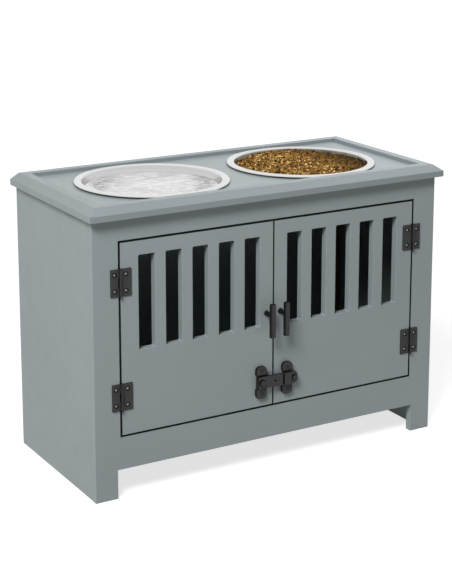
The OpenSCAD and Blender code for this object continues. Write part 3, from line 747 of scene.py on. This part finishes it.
def water():
    """Water in the left bowl: a rippled surface over the bowl's own shape."""
    waves, cells = ripples()
    level = DECK_TOP - WATER_DROP
    reach = inner_radius("left", level) - WATER_PLAY
    steps, rings = 168, 58
    bm = bmesh.new()
    middle = bm.verts.new((0, 0, level + wave_height(0, 0, waves, cells)))
    rows = []
    for r in range(1, rings + 1):
        radius = reach * r / rings
        calm = min(1.0, (reach - radius) / CALM_EDGE)
        row = []
        for i in range(steps):
            a = 2 * math.pi * i / steps
            x, y = radius * math.cos(a), radius * math.sin(a)
            row.append(bm.verts.new((x, y, level + calm * wave_height(x, y, waves, cells))))
        rows.append(row)
    wall = sheet_side("left", SHEET / 2 + WATER_PLAY)[:WALL_POINTS]
    under = [(radius, height) for radius, height in wall if height < level]
    for radius, height in reversed(under[1:]):
        rows.append(vert_ring(bm, radius, height, steps))
    bottom = bm.verts.new((0, 0, under[0][1]))
    for i in range(steps):
        k = (i + 1) % steps
        bm.faces.new((middle, rows[0][i], rows[0][k]))
        for a, b in zip(rows, rows[1:]):
            bm.faces.new((a[i], b[i], b[k], a[k]))
        bm.faces.new((rows[-1][i], bottom, rows[-1][k]))
    bmesh.ops.recalc_face_normals(bm, faces=bm.faces)
    mesh = bpy.data.meshes.new("water")
    bm.to_mesh(mesh)
    bm.free()
    mesh.transform(Matrix.Translation(bowl_centre("left")))
    look = clear_water("water", bowl_centre("left"), reach)
    add("drinking_water", mesh, "left_bowl", look, sharp=60, weighted=False)


def ball(fineness):
    """The corners and faces of a round ball one unit across."""
    bm = bmesh.new()
    bmesh.ops.create_icosphere(bm, subdivisions=fineness, radius=0.5)
    bm.verts.ensure_lookup_table()
    made = [v.co.copy() for v in bm.verts], [[v.index for v in f.verts] for f in bm.faces]
    bm.free()
    return made


def pellet(corners, rng, place, size):
    """The corners of one baked pellet, a lumpy rounded block."""
    turn = Matrix.Rotation(rng.uniform(0, 6.28), 3, "Z") @ Matrix.Rotation(rng.gauss(0, 0.4), 3, "X")
    shape = turn @ Matrix.Rotation(rng.gauss(0, 0.4), 3, "Y") @ Matrix.Diagonal(size)
    lumps = [Vector([rng.gauss(0, 1) for _ in range(3)]).normalized() for _ in range(3)]
    made = []
    for corner in corners:
        way = corner * 2
        swell = 1 + sum(0.1 * way.dot(lump) ** 3 for lump in lumps)
        made.append(place + shape @ (corner * swell))
    return made


def clamped(value, low, high):
    return max(low, min(high, value))


def ease(value, low, high):
    """0 up to low, 1 from high on, and smooth between them."""
    share = clamped((value - low) / (high - low), 0.0, 1.0)
    return share * share * (3 - 2 * share)


FOOD_DROP = 0.4 * MM
FOOD_PLAY = 0.8 * MM
PITCH = 4.3 * MM
ROW_PITCH = PITCH * 0.866
JITTER = 0.7 * MM
PELLET = ((4.0, 6.2), (2.7, 3.7), (2.5, 3.4))  # the spans of its length, width and height in mm
FOOD_RISE = {"middle": 0.9 * MM, "back": 1.1 * MM}
FOOD_DIP = {"far left": 5 * MM, "right": 2.3 * MM}
WALL_SLOPE = 0.36
# The lower layer's tone is painted shade between the pellets.
LAYERS = ((0.0, 0.0, 2, 1.0), (2.8 * MM, 0.5, 1, 0.15))  # depth, shift on the grid, fineness, tone


def heap(x, y):
    """How far the food rises over its level there and how far it dips. Its middle and its back lie
    higher, its far left and its right end lower. x and y are shares of its reach."""
    rise = FOOD_RISE["middle"] * (1 - x * x - y * y) + FOOD_RISE["back"] * ease(y, 0.5, 0.95)
    dip = FOOD_DIP["far left"] * ease(0.5 * y - 0.87 * x, 0.35, 1.0)
    dip += FOOD_DIP["right"] * ease(0.97 * x + 0.25 * y, 0.65, 1.0)
    return rise, dip


def food():
    """Dry food filled to the right bowl's mouth: layers of pellets on a jittered grid of offset rows, with
    painted shade that darkens the lower layer, the pellets towards the right and those at the wall."""
    rng = random.Random(5)
    level = DECK_TOP - FOOD_DROP
    reach = inner_radius("right", level) - FOOD_PLAY
    centre = Vector(bowl_centre("right"))
    rows = int(reach / ROW_PITCH) + 1
    places = [(i, j) for j in range(-rows, rows + 1) for i in range(-rows - 2, rows + 3)]
    points, faces, tones = [], [], []
    for depth, shift, fineness, layer_shade in LAYERS:
        corners, triangles = ball(fineness)
        for i, j in places:
            x = (i + 0.5 * (j % 2) + shift) * PITCH + rng.gauss(0, JITTER)
            y = (j + shift * 0.6) * ROW_PITCH + rng.gauss(0, JITTER)
            out = math.hypot(x, y) / reach
            if out > 1:
                continue
            rise, dip = heap(x / reach, y / reach)
            z = level + rise - dip - depth + clamped(rng.gauss(0, JITTER), -2 * JITTER, JITTER)
            if out * reach > reach - WALL_SLOPE * dip:
                continue
            size = [rng.uniform(*span) * MM for span in PELLET]
            # Painted shade: pellets towards the right end, at the wall and in the lower layer are darker.
            right_end_shade = max(0.0, (x / reach - 0.17) / 0.8)
            edge = max(0.0, (out - 0.8) / 0.2)
            tone = clamped(rng.gauss(0.5, 0.27), 0.0, 1.0) * layer_shade
            tone *= (1 - 0.95 * right_end_shade) * (1 - 0.2 * edge)
            faces += [[len(points) + k for k in triangle] for triangle in triangles]
            points += pellet(corners, rng, centre + Vector((x, y, z)), size)
            tones += [tone] * len(corners)
    mesh = bpy.data.meshes.new("food")
    mesh.from_pydata(points, [], faces)
    mesh.attributes.new("pellet_tone_and_shade", "FLOAT", "POINT").data.foreach_set("value", tones)
    add("dry_food", mesh, "right_bowl", dry_food("dry_food"), sharp=180, weighted=False)


# --------------------------------------------------------------------- doors

SLOTS = 5
SLOT_START = 23.3 * MM
SLOT_PITCH = 43.2 * MM
SLOT_WIDTH = 26 * MM
SLOT_LOW, SLOT_HIGH = 217.5 * MM, 355.5 * MM
SLOT_CORNER = 2 * MM
DOOR_EDGE = 0.5 * MM


def door(side):
    """A door board. Its slots are placed from the middle of the front outwards."""
    node = "door_" + side
    low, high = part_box(node)
    holes = []
    for i in range(SLOTS):
        start = SLOT_START + i * SLOT_PITCH
        span = sorted(SIDES[side] * x for x in (start, start + SLOT_WIDTH))
        holes.append(box_outline(span[0], SLOT_LOW, span[1], SLOT_HIGH, SLOT_CORNER))
    mesh = board_mesh(node, "y", DOOR_EDGE, holes)

    # The door's edge faces take the painted gap shade.
    def shaded_on_the_rim(centre, normal):
        within = all(low[k] + DOOR_EDGE < centre[k] < high[k] - DOOR_EDGE for k in (0, 2))
        return abs(normal.y) < 0.9 and not within

    paint_faces(mesh, 1, shaded_on_the_rim)
    add(side + "_door_board", mesh, side + "_door", [PAINT, PAINT_GAP_SHADE], [node])


# -------------------------------------------------------------------- hinges

LEAF_T = 1.5 * MM
KNUCKLE = 2.1 * MM
KNUCKLE_PLAY = 0.2 * MM
LEAF_CORNER = 1.2 * MM
CURL_TAIL = 4.2 * MM
SCREW_HOLE = 3.7 * MM
SCREW_RISE = 12 * MM
SCREW_PLAY = 0.04 * MM
SCREW_FROM_PIN = {"door": -9.7 * MM, "frame": 7.8 * MM}
HEAD_RADIUS, HEAD_CROWN, HEAD_SKIRT = 1.6 * MM, 0.7 * MM, 1.6 * MM
CROSS_WIDTH, CROSS_DEPTH = 0.6 * MM, 0.9 * MM
SEAT_DROP = 1.6 * MM


def turned_out(x, y, z):
    """A place on the front, with +Z pointing out of it."""
    return Matrix.Translation((x, y, z)) @ Matrix.Rotation(math.radians(90), 4, "X")


def crossed(head, width, length, depth):
    """The head with a cross cut from its top, at z = 0, down to that depth."""
    cutter = bmesh.new()
    for turn in (0, 90):
        size = Matrix.Diagonal((length, width, 2 * depth, 1))
        bmesh.ops.create_cube(cutter, size=1, matrix=Matrix.Rotation(math.radians(turn), 4, "Z") @ size)
    cut_mesh = bpy.data.meshes.new("cross")
    cutter.to_mesh(cut_mesh)
    cutter.free()
    cut, holder = bpy.data.objects.new("cross", cut_mesh), bpy.data.objects.new("head", head)
    for obj in (cut, holder):
        bpy.context.scene.collection.objects.link(obj)
    carve = holder.modifiers.new("cross", "BOOLEAN")
    carve.object = cut
    carve.solver = "EXACT"
    carve.use_self = True
    bpy.context.view_layer.update()
    made = bpy.data.meshes.new_from_object(holder.evaluated_get(bpy.context.evaluated_depsgraph_get()))
    for obj in (cut, holder):
        bpy.data.objects.remove(obj)
    return made


def screw_head(radius, crown, seat, seat_drop):
    """A domed head with a cross in it, on a conical seat that fills its hole, painted near black as the
    hole's shade.
    """
    ball_radius = (radius ** 2 + crown ** 2) / (2 * crown)
    half = math.degrees(math.asin(radius / ball_radius))
    dome = arc((0, -ball_radius), ball_radius, 90, 90 - half, 8)
    under = -crown - HEAD_SKIRT
    turned = lathe(dome + [(radius, under), (0, under)], Matrix.Identity(4), 40)
    head = crossed(turned, CROSS_WIDTH, 1.3 * radius, CROSS_DEPTH)
    bottom = -seat_drop - 1 * MM
    hollow = [(0, -seat_drop - 0.5 * MM), (radius, -seat_drop), (seat, -0.4 * MM)]
    ring = lathe(hollow + [(seat, bottom), (0, bottom)], Matrix.Identity(4), 40)
    # The seat takes the second material, the painted shade.
    for face in ring.polygons:
        face.material_index = 1
    return joined([head, ring])


def screws(name, head, places, body, nodes, material):
    """Screw heads at (x, y, z) places on front faces, each turned its own way."""
    rng = random.Random(len(name))
    meshes = []
    for x, y, z in places:
        mesh = head.copy()
        mesh.transform(turned_out(x, y, z) @ Matrix.Rotation(rng.uniform(0, 1.57), 4, "Z"))
        meshes.append(mesh)
    add(name, joined(meshes), body, [material, RECESS_SHADE], nodes, sharp=40, weighted=False)


def curl(axis_x, axis_y, back, low, high, inward):
    """A knuckle: sheet that rolls round the pin from the leaf, which lies on that side of it."""
    inner, outer = back - axis_y, back - LEAF_T - axis_y
    roll = arc((0, 0), KNUCKLE, 100, 360 + math.degrees(math.asin(outer / KNUCKLE)), 22)
    outline = [(CURL_TAIL, inner), (0, inner - 0.1 * MM)] + roll + [(CURL_TAIL, outer)]
    mesh = slab([outline], low, high, FLAT, 0.15 * MM, 1)
    if inward:
        mirrored(mesh)
    mesh.transform(Matrix.Translation((axis_x, axis_y, 0)))
    return mesh


def leaf(side, level, part):
    """A hinge's frame leaf or door leaf, as one stamped sheet with its knuckles."""
    node = f"{part}_leaf_{level}_{side}"
    low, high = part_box(node)
    pin_low, pin_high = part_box(f"hinge_pin_{level}_{side}")
    axis_x, axis_y = abs(pin_low.x + pin_high.x) / 2, (pin_low.y + pin_high.y) / 2
    inward = part == "door"
    door_front = ends("door_" + side, "y")[0]
    back = door_front if inward else ends("face_frame", "y")[0]
    far = min(abs(low.x), abs(high.x)) if inward else max(abs(low.x), abs(high.x))
    near = axis_x + (-1 if inward else 1) * (KNUCKLE + KNUCKLE_PLAY)
    screw_x = axis_x + SCREW_FROM_PIN[part]
    middle = (low.z + high.z) / 2
    x0, x1 = sorted((near, far))
    radii = [LEAF_CORNER, 0, 0, LEAF_CORNER] if inward else [0, LEAF_CORNER, LEAF_CORNER, 0]
    outline = box_outline(x0, low.z, x1, high.z, radii)
    holes = [ring_outline(screw_x, middle + dz, SCREW_HOLE, 32) for dz in (-SCREW_RISE, SCREW_RISE)]
    meshes = [slab([outline, *holes], back - LEAF_T, back, UPRIGHT, 0.3 * MM)]
    third = (high.z - low.z) / 3
    spans = [(middle - third / 2 + KNUCKLE_PLAY, middle + third / 2 - KNUCKLE_PLAY)]
    if not inward:
        spans = [(low.z, low.z + third), (high.z - third, high.z)]
    meshes += [curl(axis_x, axis_y, back, a, b, inward) for a, b in spans]
    body = side + "_door" if inward else "cabinet"
    add(f"{side}_{level}_{part}_leaf", on_side(joined(meshes), side), body, IRON, [node])
    return [(SIDES[side] * screw_x, back - LEAF_T, middle + dz) for dz in (-SCREW_RISE, SCREW_RISE)]


def hinges():
    """Two hinges to a door, and their screws as one piece for each body that they are in."""
    head = screw_head(HEAD_RADIUS, HEAD_CROWN, SCREW_HOLE - SCREW_PLAY, SEAT_DROP)
    frame_places = []
    for side in SIDES:
        door_places = []
        for level in ("upper", "lower"):
            frame_places += leaf(side, level, "frame")
            door_places += leaf(side, level, "door")
            paint_node(f"hinge_pin_{level}_{side}", IRON)
        screws(side + "_door_leaf_screw_heads", head, door_places, side + "_door",
               ["door_leaf_screws_" + side], SCREW_IRON)
    screws("frame_leaf_screw_heads", head, frame_places, "cabinet", ["frame_leaf_screws"], SCREW_IRON)


# ------------------------------------------------------------------- handles

BAR_RIM = 0.9 * MM
POST = 3.6 * MM
POST_FOOT = 4.3 * MM


def handle(side):
    """A round bar on one post that widens where it meets the door."""
    body = side + "_door"
    low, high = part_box("handle_bar_" + side)
    middle = (low + high) / 2
    radius = (high.x - low.x) / 2
    place = Matrix.Translation((middle.x, middle.y, low.z))
    add(side + "_handle_bar", rod(radius, high.z - low.z, place, BAR_RIM), body, IRON,
        ["handle_bar_" + side], sharp=60, weighted=False)
    low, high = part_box("handle_post_" + side)
    x, z = (low.x + high.x) / 2, (low.z + high.z) / 2
    door_front = ends("door_" + side, "y")[0]
    length = door_front - middle.y
    foot = [(0, 0), (POST_FOOT, 0)] + arc((POST_FOOT - 0.4 * MM, 1.2 * MM), 0.4 * MM, 0, 90, 3)
    stem = [(POST, 2.2 * MM), (POST, length), (0, length)]
    mesh = lathe(foot + stem, turned_out(x, door_front, z), 40)
    add(side + "_handle_post", mesh, body, IRON, ["handle_post_" + side], sharp=50,
        weighted=False)
    paint_node("handle_screw_" + side, ZINC)


# --------------------------------------------------------------------- latch

LOBE_CORNER = 6.5 * MM
LOBE_INNER_CORNER = 1 * MM
LOBE_SCREW = 2.8 * MM
LOBE_HEAD, LOBE_CROWN, LOBE_SEAT_DROP = LOBE_SCREW - 0.1 * MM, 0.3 * MM, 0.9 * MM
LOBE_GAP = 1.2 * MM
WAIST = 14 * MM
WAIST_T = 3 * MM


def latch_plate(side, node, name):
    """A plate of two lobes, over and under the arm, on a thinner waist behind it."""
    low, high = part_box(node)
    x = (low.x + high.x) / 2
    arm_low, arm_high = ends("latch_arm", "z")
    lower = (low.z, arm_low - LOBE_GAP)
    upper = (arm_high + LOBE_GAP, high.z)
    screw_places = [(x, low.y, sum(lobe) / 2) for lobe in (lower, upper)]
    waist = box_outline(x - WAIST / 2, sum(lower) / 2, x + WAIST / 2, sum(upper) / 2)
    meshes = [slab([waist], high.y - WAIST_T, high.y, UPRIGHT, 0.4 * MM)]
    outer, inner = [LOBE_CORNER] * 2, [LOBE_INNER_CORNER] * 2
    for (z0, z1), radii in ((lower, outer + inner), (upper, inner + outer)):
        outline = box_outline(low.x, z0, high.x, z1, radii, 8)
        hole = ring_outline(x, (z0 + z1) / 2, LOBE_SCREW, 32)
        meshes.append(slab([outline, hole], low.y, high.y, UPRIGHT, 0.8 * MM, 3))
    add(name, joined(meshes), side + "_door", IRON, [node])
    head = screw_head(LOBE_HEAD, LOBE_CROWN, LOBE_SCREW - SCREW_PLAY, LOBE_SEAT_DROP)
    screws(name + "_screws", head, screw_places, side + "_door", [node + "_screws"], IRON)


def latch_plates():
    """The latch's base on the left door and its catch on the right one."""
    latch_plate("left", "latch_plate", "latch_base_plate")
    latch_plate("right", "keeper_plate", "latch_catch_plate")
    paint_node("keeper_stud", IRON)


ARM_T = 3.5 * MM
ARM_SKIN = 2.2 * MM
ARM_CORNERS = [2.5 * MM, 6.5 * MM, 6.5 * MM, 2.5 * MM]
PIVOT_HEAD, PIVOT_PROUD, PIVOT_DEPTH = 4.2 * MM, 2.8 * MM, 9 * MM
PIVOT_PLAY = 0.1 * MM
SINK = PIVOT_HEAD + 1.2 * MM
KNOB, KNOB_PROUD, KNOB_DEPTH = 3.4 * MM, 2.6 * MM, 3.4 * MM
KNOB_IN = 6.6 * MM
KNOB_RING = KNOB + 0.9 * MM
DIMPLE, DIMPLE_X = 1.7 * MM, -1.2 * MM
BAND = (14.05 * MM, 26.55 * MM)
BAND_PROUD = 2 * MM
GROOVE, GROOVE_IN = (1.7 * MM, 0.1 * MM), 1.2 * MM


def latch_arm():
    """The arm: a front skin with a groove and recesses, over a plain back whose front face is painted near
    black as painted shade in them.
    """
    low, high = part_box("latch_arm")
    pivot_low, pivot_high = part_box("latch_pivot")
    middle = (low.z + high.z) / 2
    front = high.y - ARM_T
    pivot_x = (pivot_low.x + pivot_high.x) / 2
    knob_x = high.x - KNOB_IN
    outline = box_outline(low.x, low.z, high.x, high.z, ARM_CORNERS, 8)
    sink = ring_outline(pivot_x, middle, SINK)
    dimple = ring_outline(DIMPLE_X, middle, DIMPLE, 24)
    ring = ring_outline(knob_x, middle, KNOB_RING)
    groove_x = [BAND[0] - distance for distance in GROOVE]
    groove = box_outline(groove_x[0], low.z + GROOVE_IN, groove_x[1], high.z - GROOVE_IN, 0.3 * MM)
    skin = slab([outline, sink, dimple, ring, groove], front, front + ARM_SKIN, UPRIGHT, 0.35 * MM)
    bore = ring_outline(pivot_x, middle, PIVOT_HEAD + PIVOT_PLAY)
    back = slab([outline, bore], front + ARM_SKIN, high.y, UPRIGHT, 0.1 * MM, 1)
    # Painted shade: the back's front faces, seen in the recesses and the groove, take the near-black
    # finish.
    paint_faces(back, 1, lambda centre, normal: normal.y < -0.9)
    strap = box_outline(BAND[0], low.z, BAND[1], high.z, 0.4 * MM)
    band = slab([strap], front - BAND_PROUD, front + 0.5 * MM, UPRIGHT, 0.4 * MM)
    knob = proud_head(KNOB, KNOB_PROUD, turned_out(knob_x, front, middle), KNOB_DEPTH)
    mesh = joined([skin, back, band, knob])
    add("latch_lift_arm", mesh, "latch_arm", [IRON, RECESS_SHADE], ["latch_arm"])
    rivet = proud_head(PIVOT_HEAD, PIVOT_PROUD, turned_out(pivot_x, front, middle), PIVOT_DEPTH)
    add("latch_rivet", rivet, "left_door", IRON, ["latch_pivot"], sharp=50, weighted=False)


def proud_head(radius, height, place, depth):
    """A flat round head that stands proud of z = 0 and reaches down to -depth, with a rounded rim."""
    edge = 0.5 * MM
    rim = arc((radius - edge, height - edge), edge, 0, 90, 4)
    return lathe([(0, -depth), (radius, -depth)] + rim + [(0, height)], place, 40)


# ------------------------------------------------------------------ fittings

def fittings():
    """What holds the cabinet together: all of it is the CAD's own."""
    paint_node("frame_dowels", WOOD)
    for node in ("floor_cleat_left", "floor_cleat_right", "corner_cleat_left", "corner_cleat_right"):
        paint_node(node, SHADED_WOOD)
    for node in ("cleat_screws", "floor_screws", "back_screws", "top_brackets", "bracket_screws"):
        paint_node(node, ZINC)


# --------------------------------------------------------------------- stage

WHITE = (1, 1, 1, 1)
FLOOR_TONE = (0.46, 0.46, 0.46, 1)
GLOW_REACH = (0.7, 2.2)
GLOW = (0.73, 1.0)
FILL_LIGHT = 0.02


def stage():
    """A pale matt floor. For the background's rays it also glows, up to white away from the piece."""
    bpy.ops.mesh.primitive_plane_add(size=60, location=(0, 0, 0))
    floor = bpy.context.object
    floor.name = "studio_floor"
    f = Finish("studio_floor", Base_Color=FLOOR_TONE, Roughness=0.9, Specular_IOR_Level=0.1)
    far = f.vector_math("LENGTH", f.place()).outputs["Value"]
    strength = f.math("MULTIPLY", f.background_share(), f.spread(far, *GLOW_REACH, *GLOW))
    glow = f.node("Emission", {"Color": WHITE, "Strength": strength})
    both = f.node("AddShader", {0: f.shader.outputs[0], 1: glow.outputs[0]})
    f.set(f.tree.nodes["Material Output"], {"Surface": both.outputs[0]})
    floor.data.materials.append(f.material)


def world():
    """White for the background's rays and a faint even light for all others."""
    made = bpy.data.worlds.new("studio")
    made.use_nodes = True
    bpy.context.scene.world = made
    f = Nodes(made.node_tree)
    light = made.node_tree.nodes["Background"]
    f.set(light, {"Color": WHITE, "Strength": FILL_LIGHT})
    white = f.node("Background", {"Color": WHITE, "Strength": 1.0})
    mixed = f.node("MixShader", {0: f.background_share(), 1: light.outputs[0], 2: white.outputs[0]})
    f.set(made.node_tree.nodes["World Output"], {"Surface": mixed.outputs[0]})


def softbox(name, place, aim, width, power):
    """A square lamp. Glossy surfaces mirror the white background in place of it."""
    data = bpy.data.lights.new(name, "AREA")
    data.shape = "SQUARE"
    data.size = width
    data.energy = power
    lamp = bpy.data.objects.new(name, data)
    lamp.location = place
    lamp.rotation_mode = "QUATERNION"
    lamp.rotation_quaternion = (Vector(aim) - Vector(place)).to_track_quat("-Z", "Y")
    lamp.visible_glossy = False
    bpy.context.scene.collection.objects.link(lamp)


def lights():
    """A key lamp high on the left, and a small one that brightens the deck."""
    softbox("key", (-2.03, -1.70, 2.83), (0, 0, 0.25), 1.3, 152)
    softbox("deck", (0.6, 0.14, 1.0), (0.2, 0.05, 0.43), 0.5, 4.4)


def camera():
    """The photograph's view. Its long side is its height, so the lens is set on that."""
    data = bpy.data.cameras.new("camera")
    data.sensor_fit = "AUTO"
    data.sensor_width = 36.0
    data.lens = 95.786
    data.shift_x, data.shift_y = 0.0, -0.22
    data.clip_start, data.clip_end = 0.05, 100
    view = bpy.data.objects.new("camera", data)
    view.location = (-1.16621, -1.98969, 0.92779)
    view.rotation_euler = (math.radians(90 - 11.957), 0, math.radians(-30.18))
    bpy.context.scene.collection.objects.link(view)
    bpy.context.scene.camera = view


camera()
cabinet()
top()
for side in SIDES:
    bowl(side)
    door(side)
    handle(side)
water()
food()
hinges()
latch_plates()
latch_arm()
fittings()
stage()
world()
lights()

scene = bpy.context.scene
scene.view_settings.view_transform = "Standard"
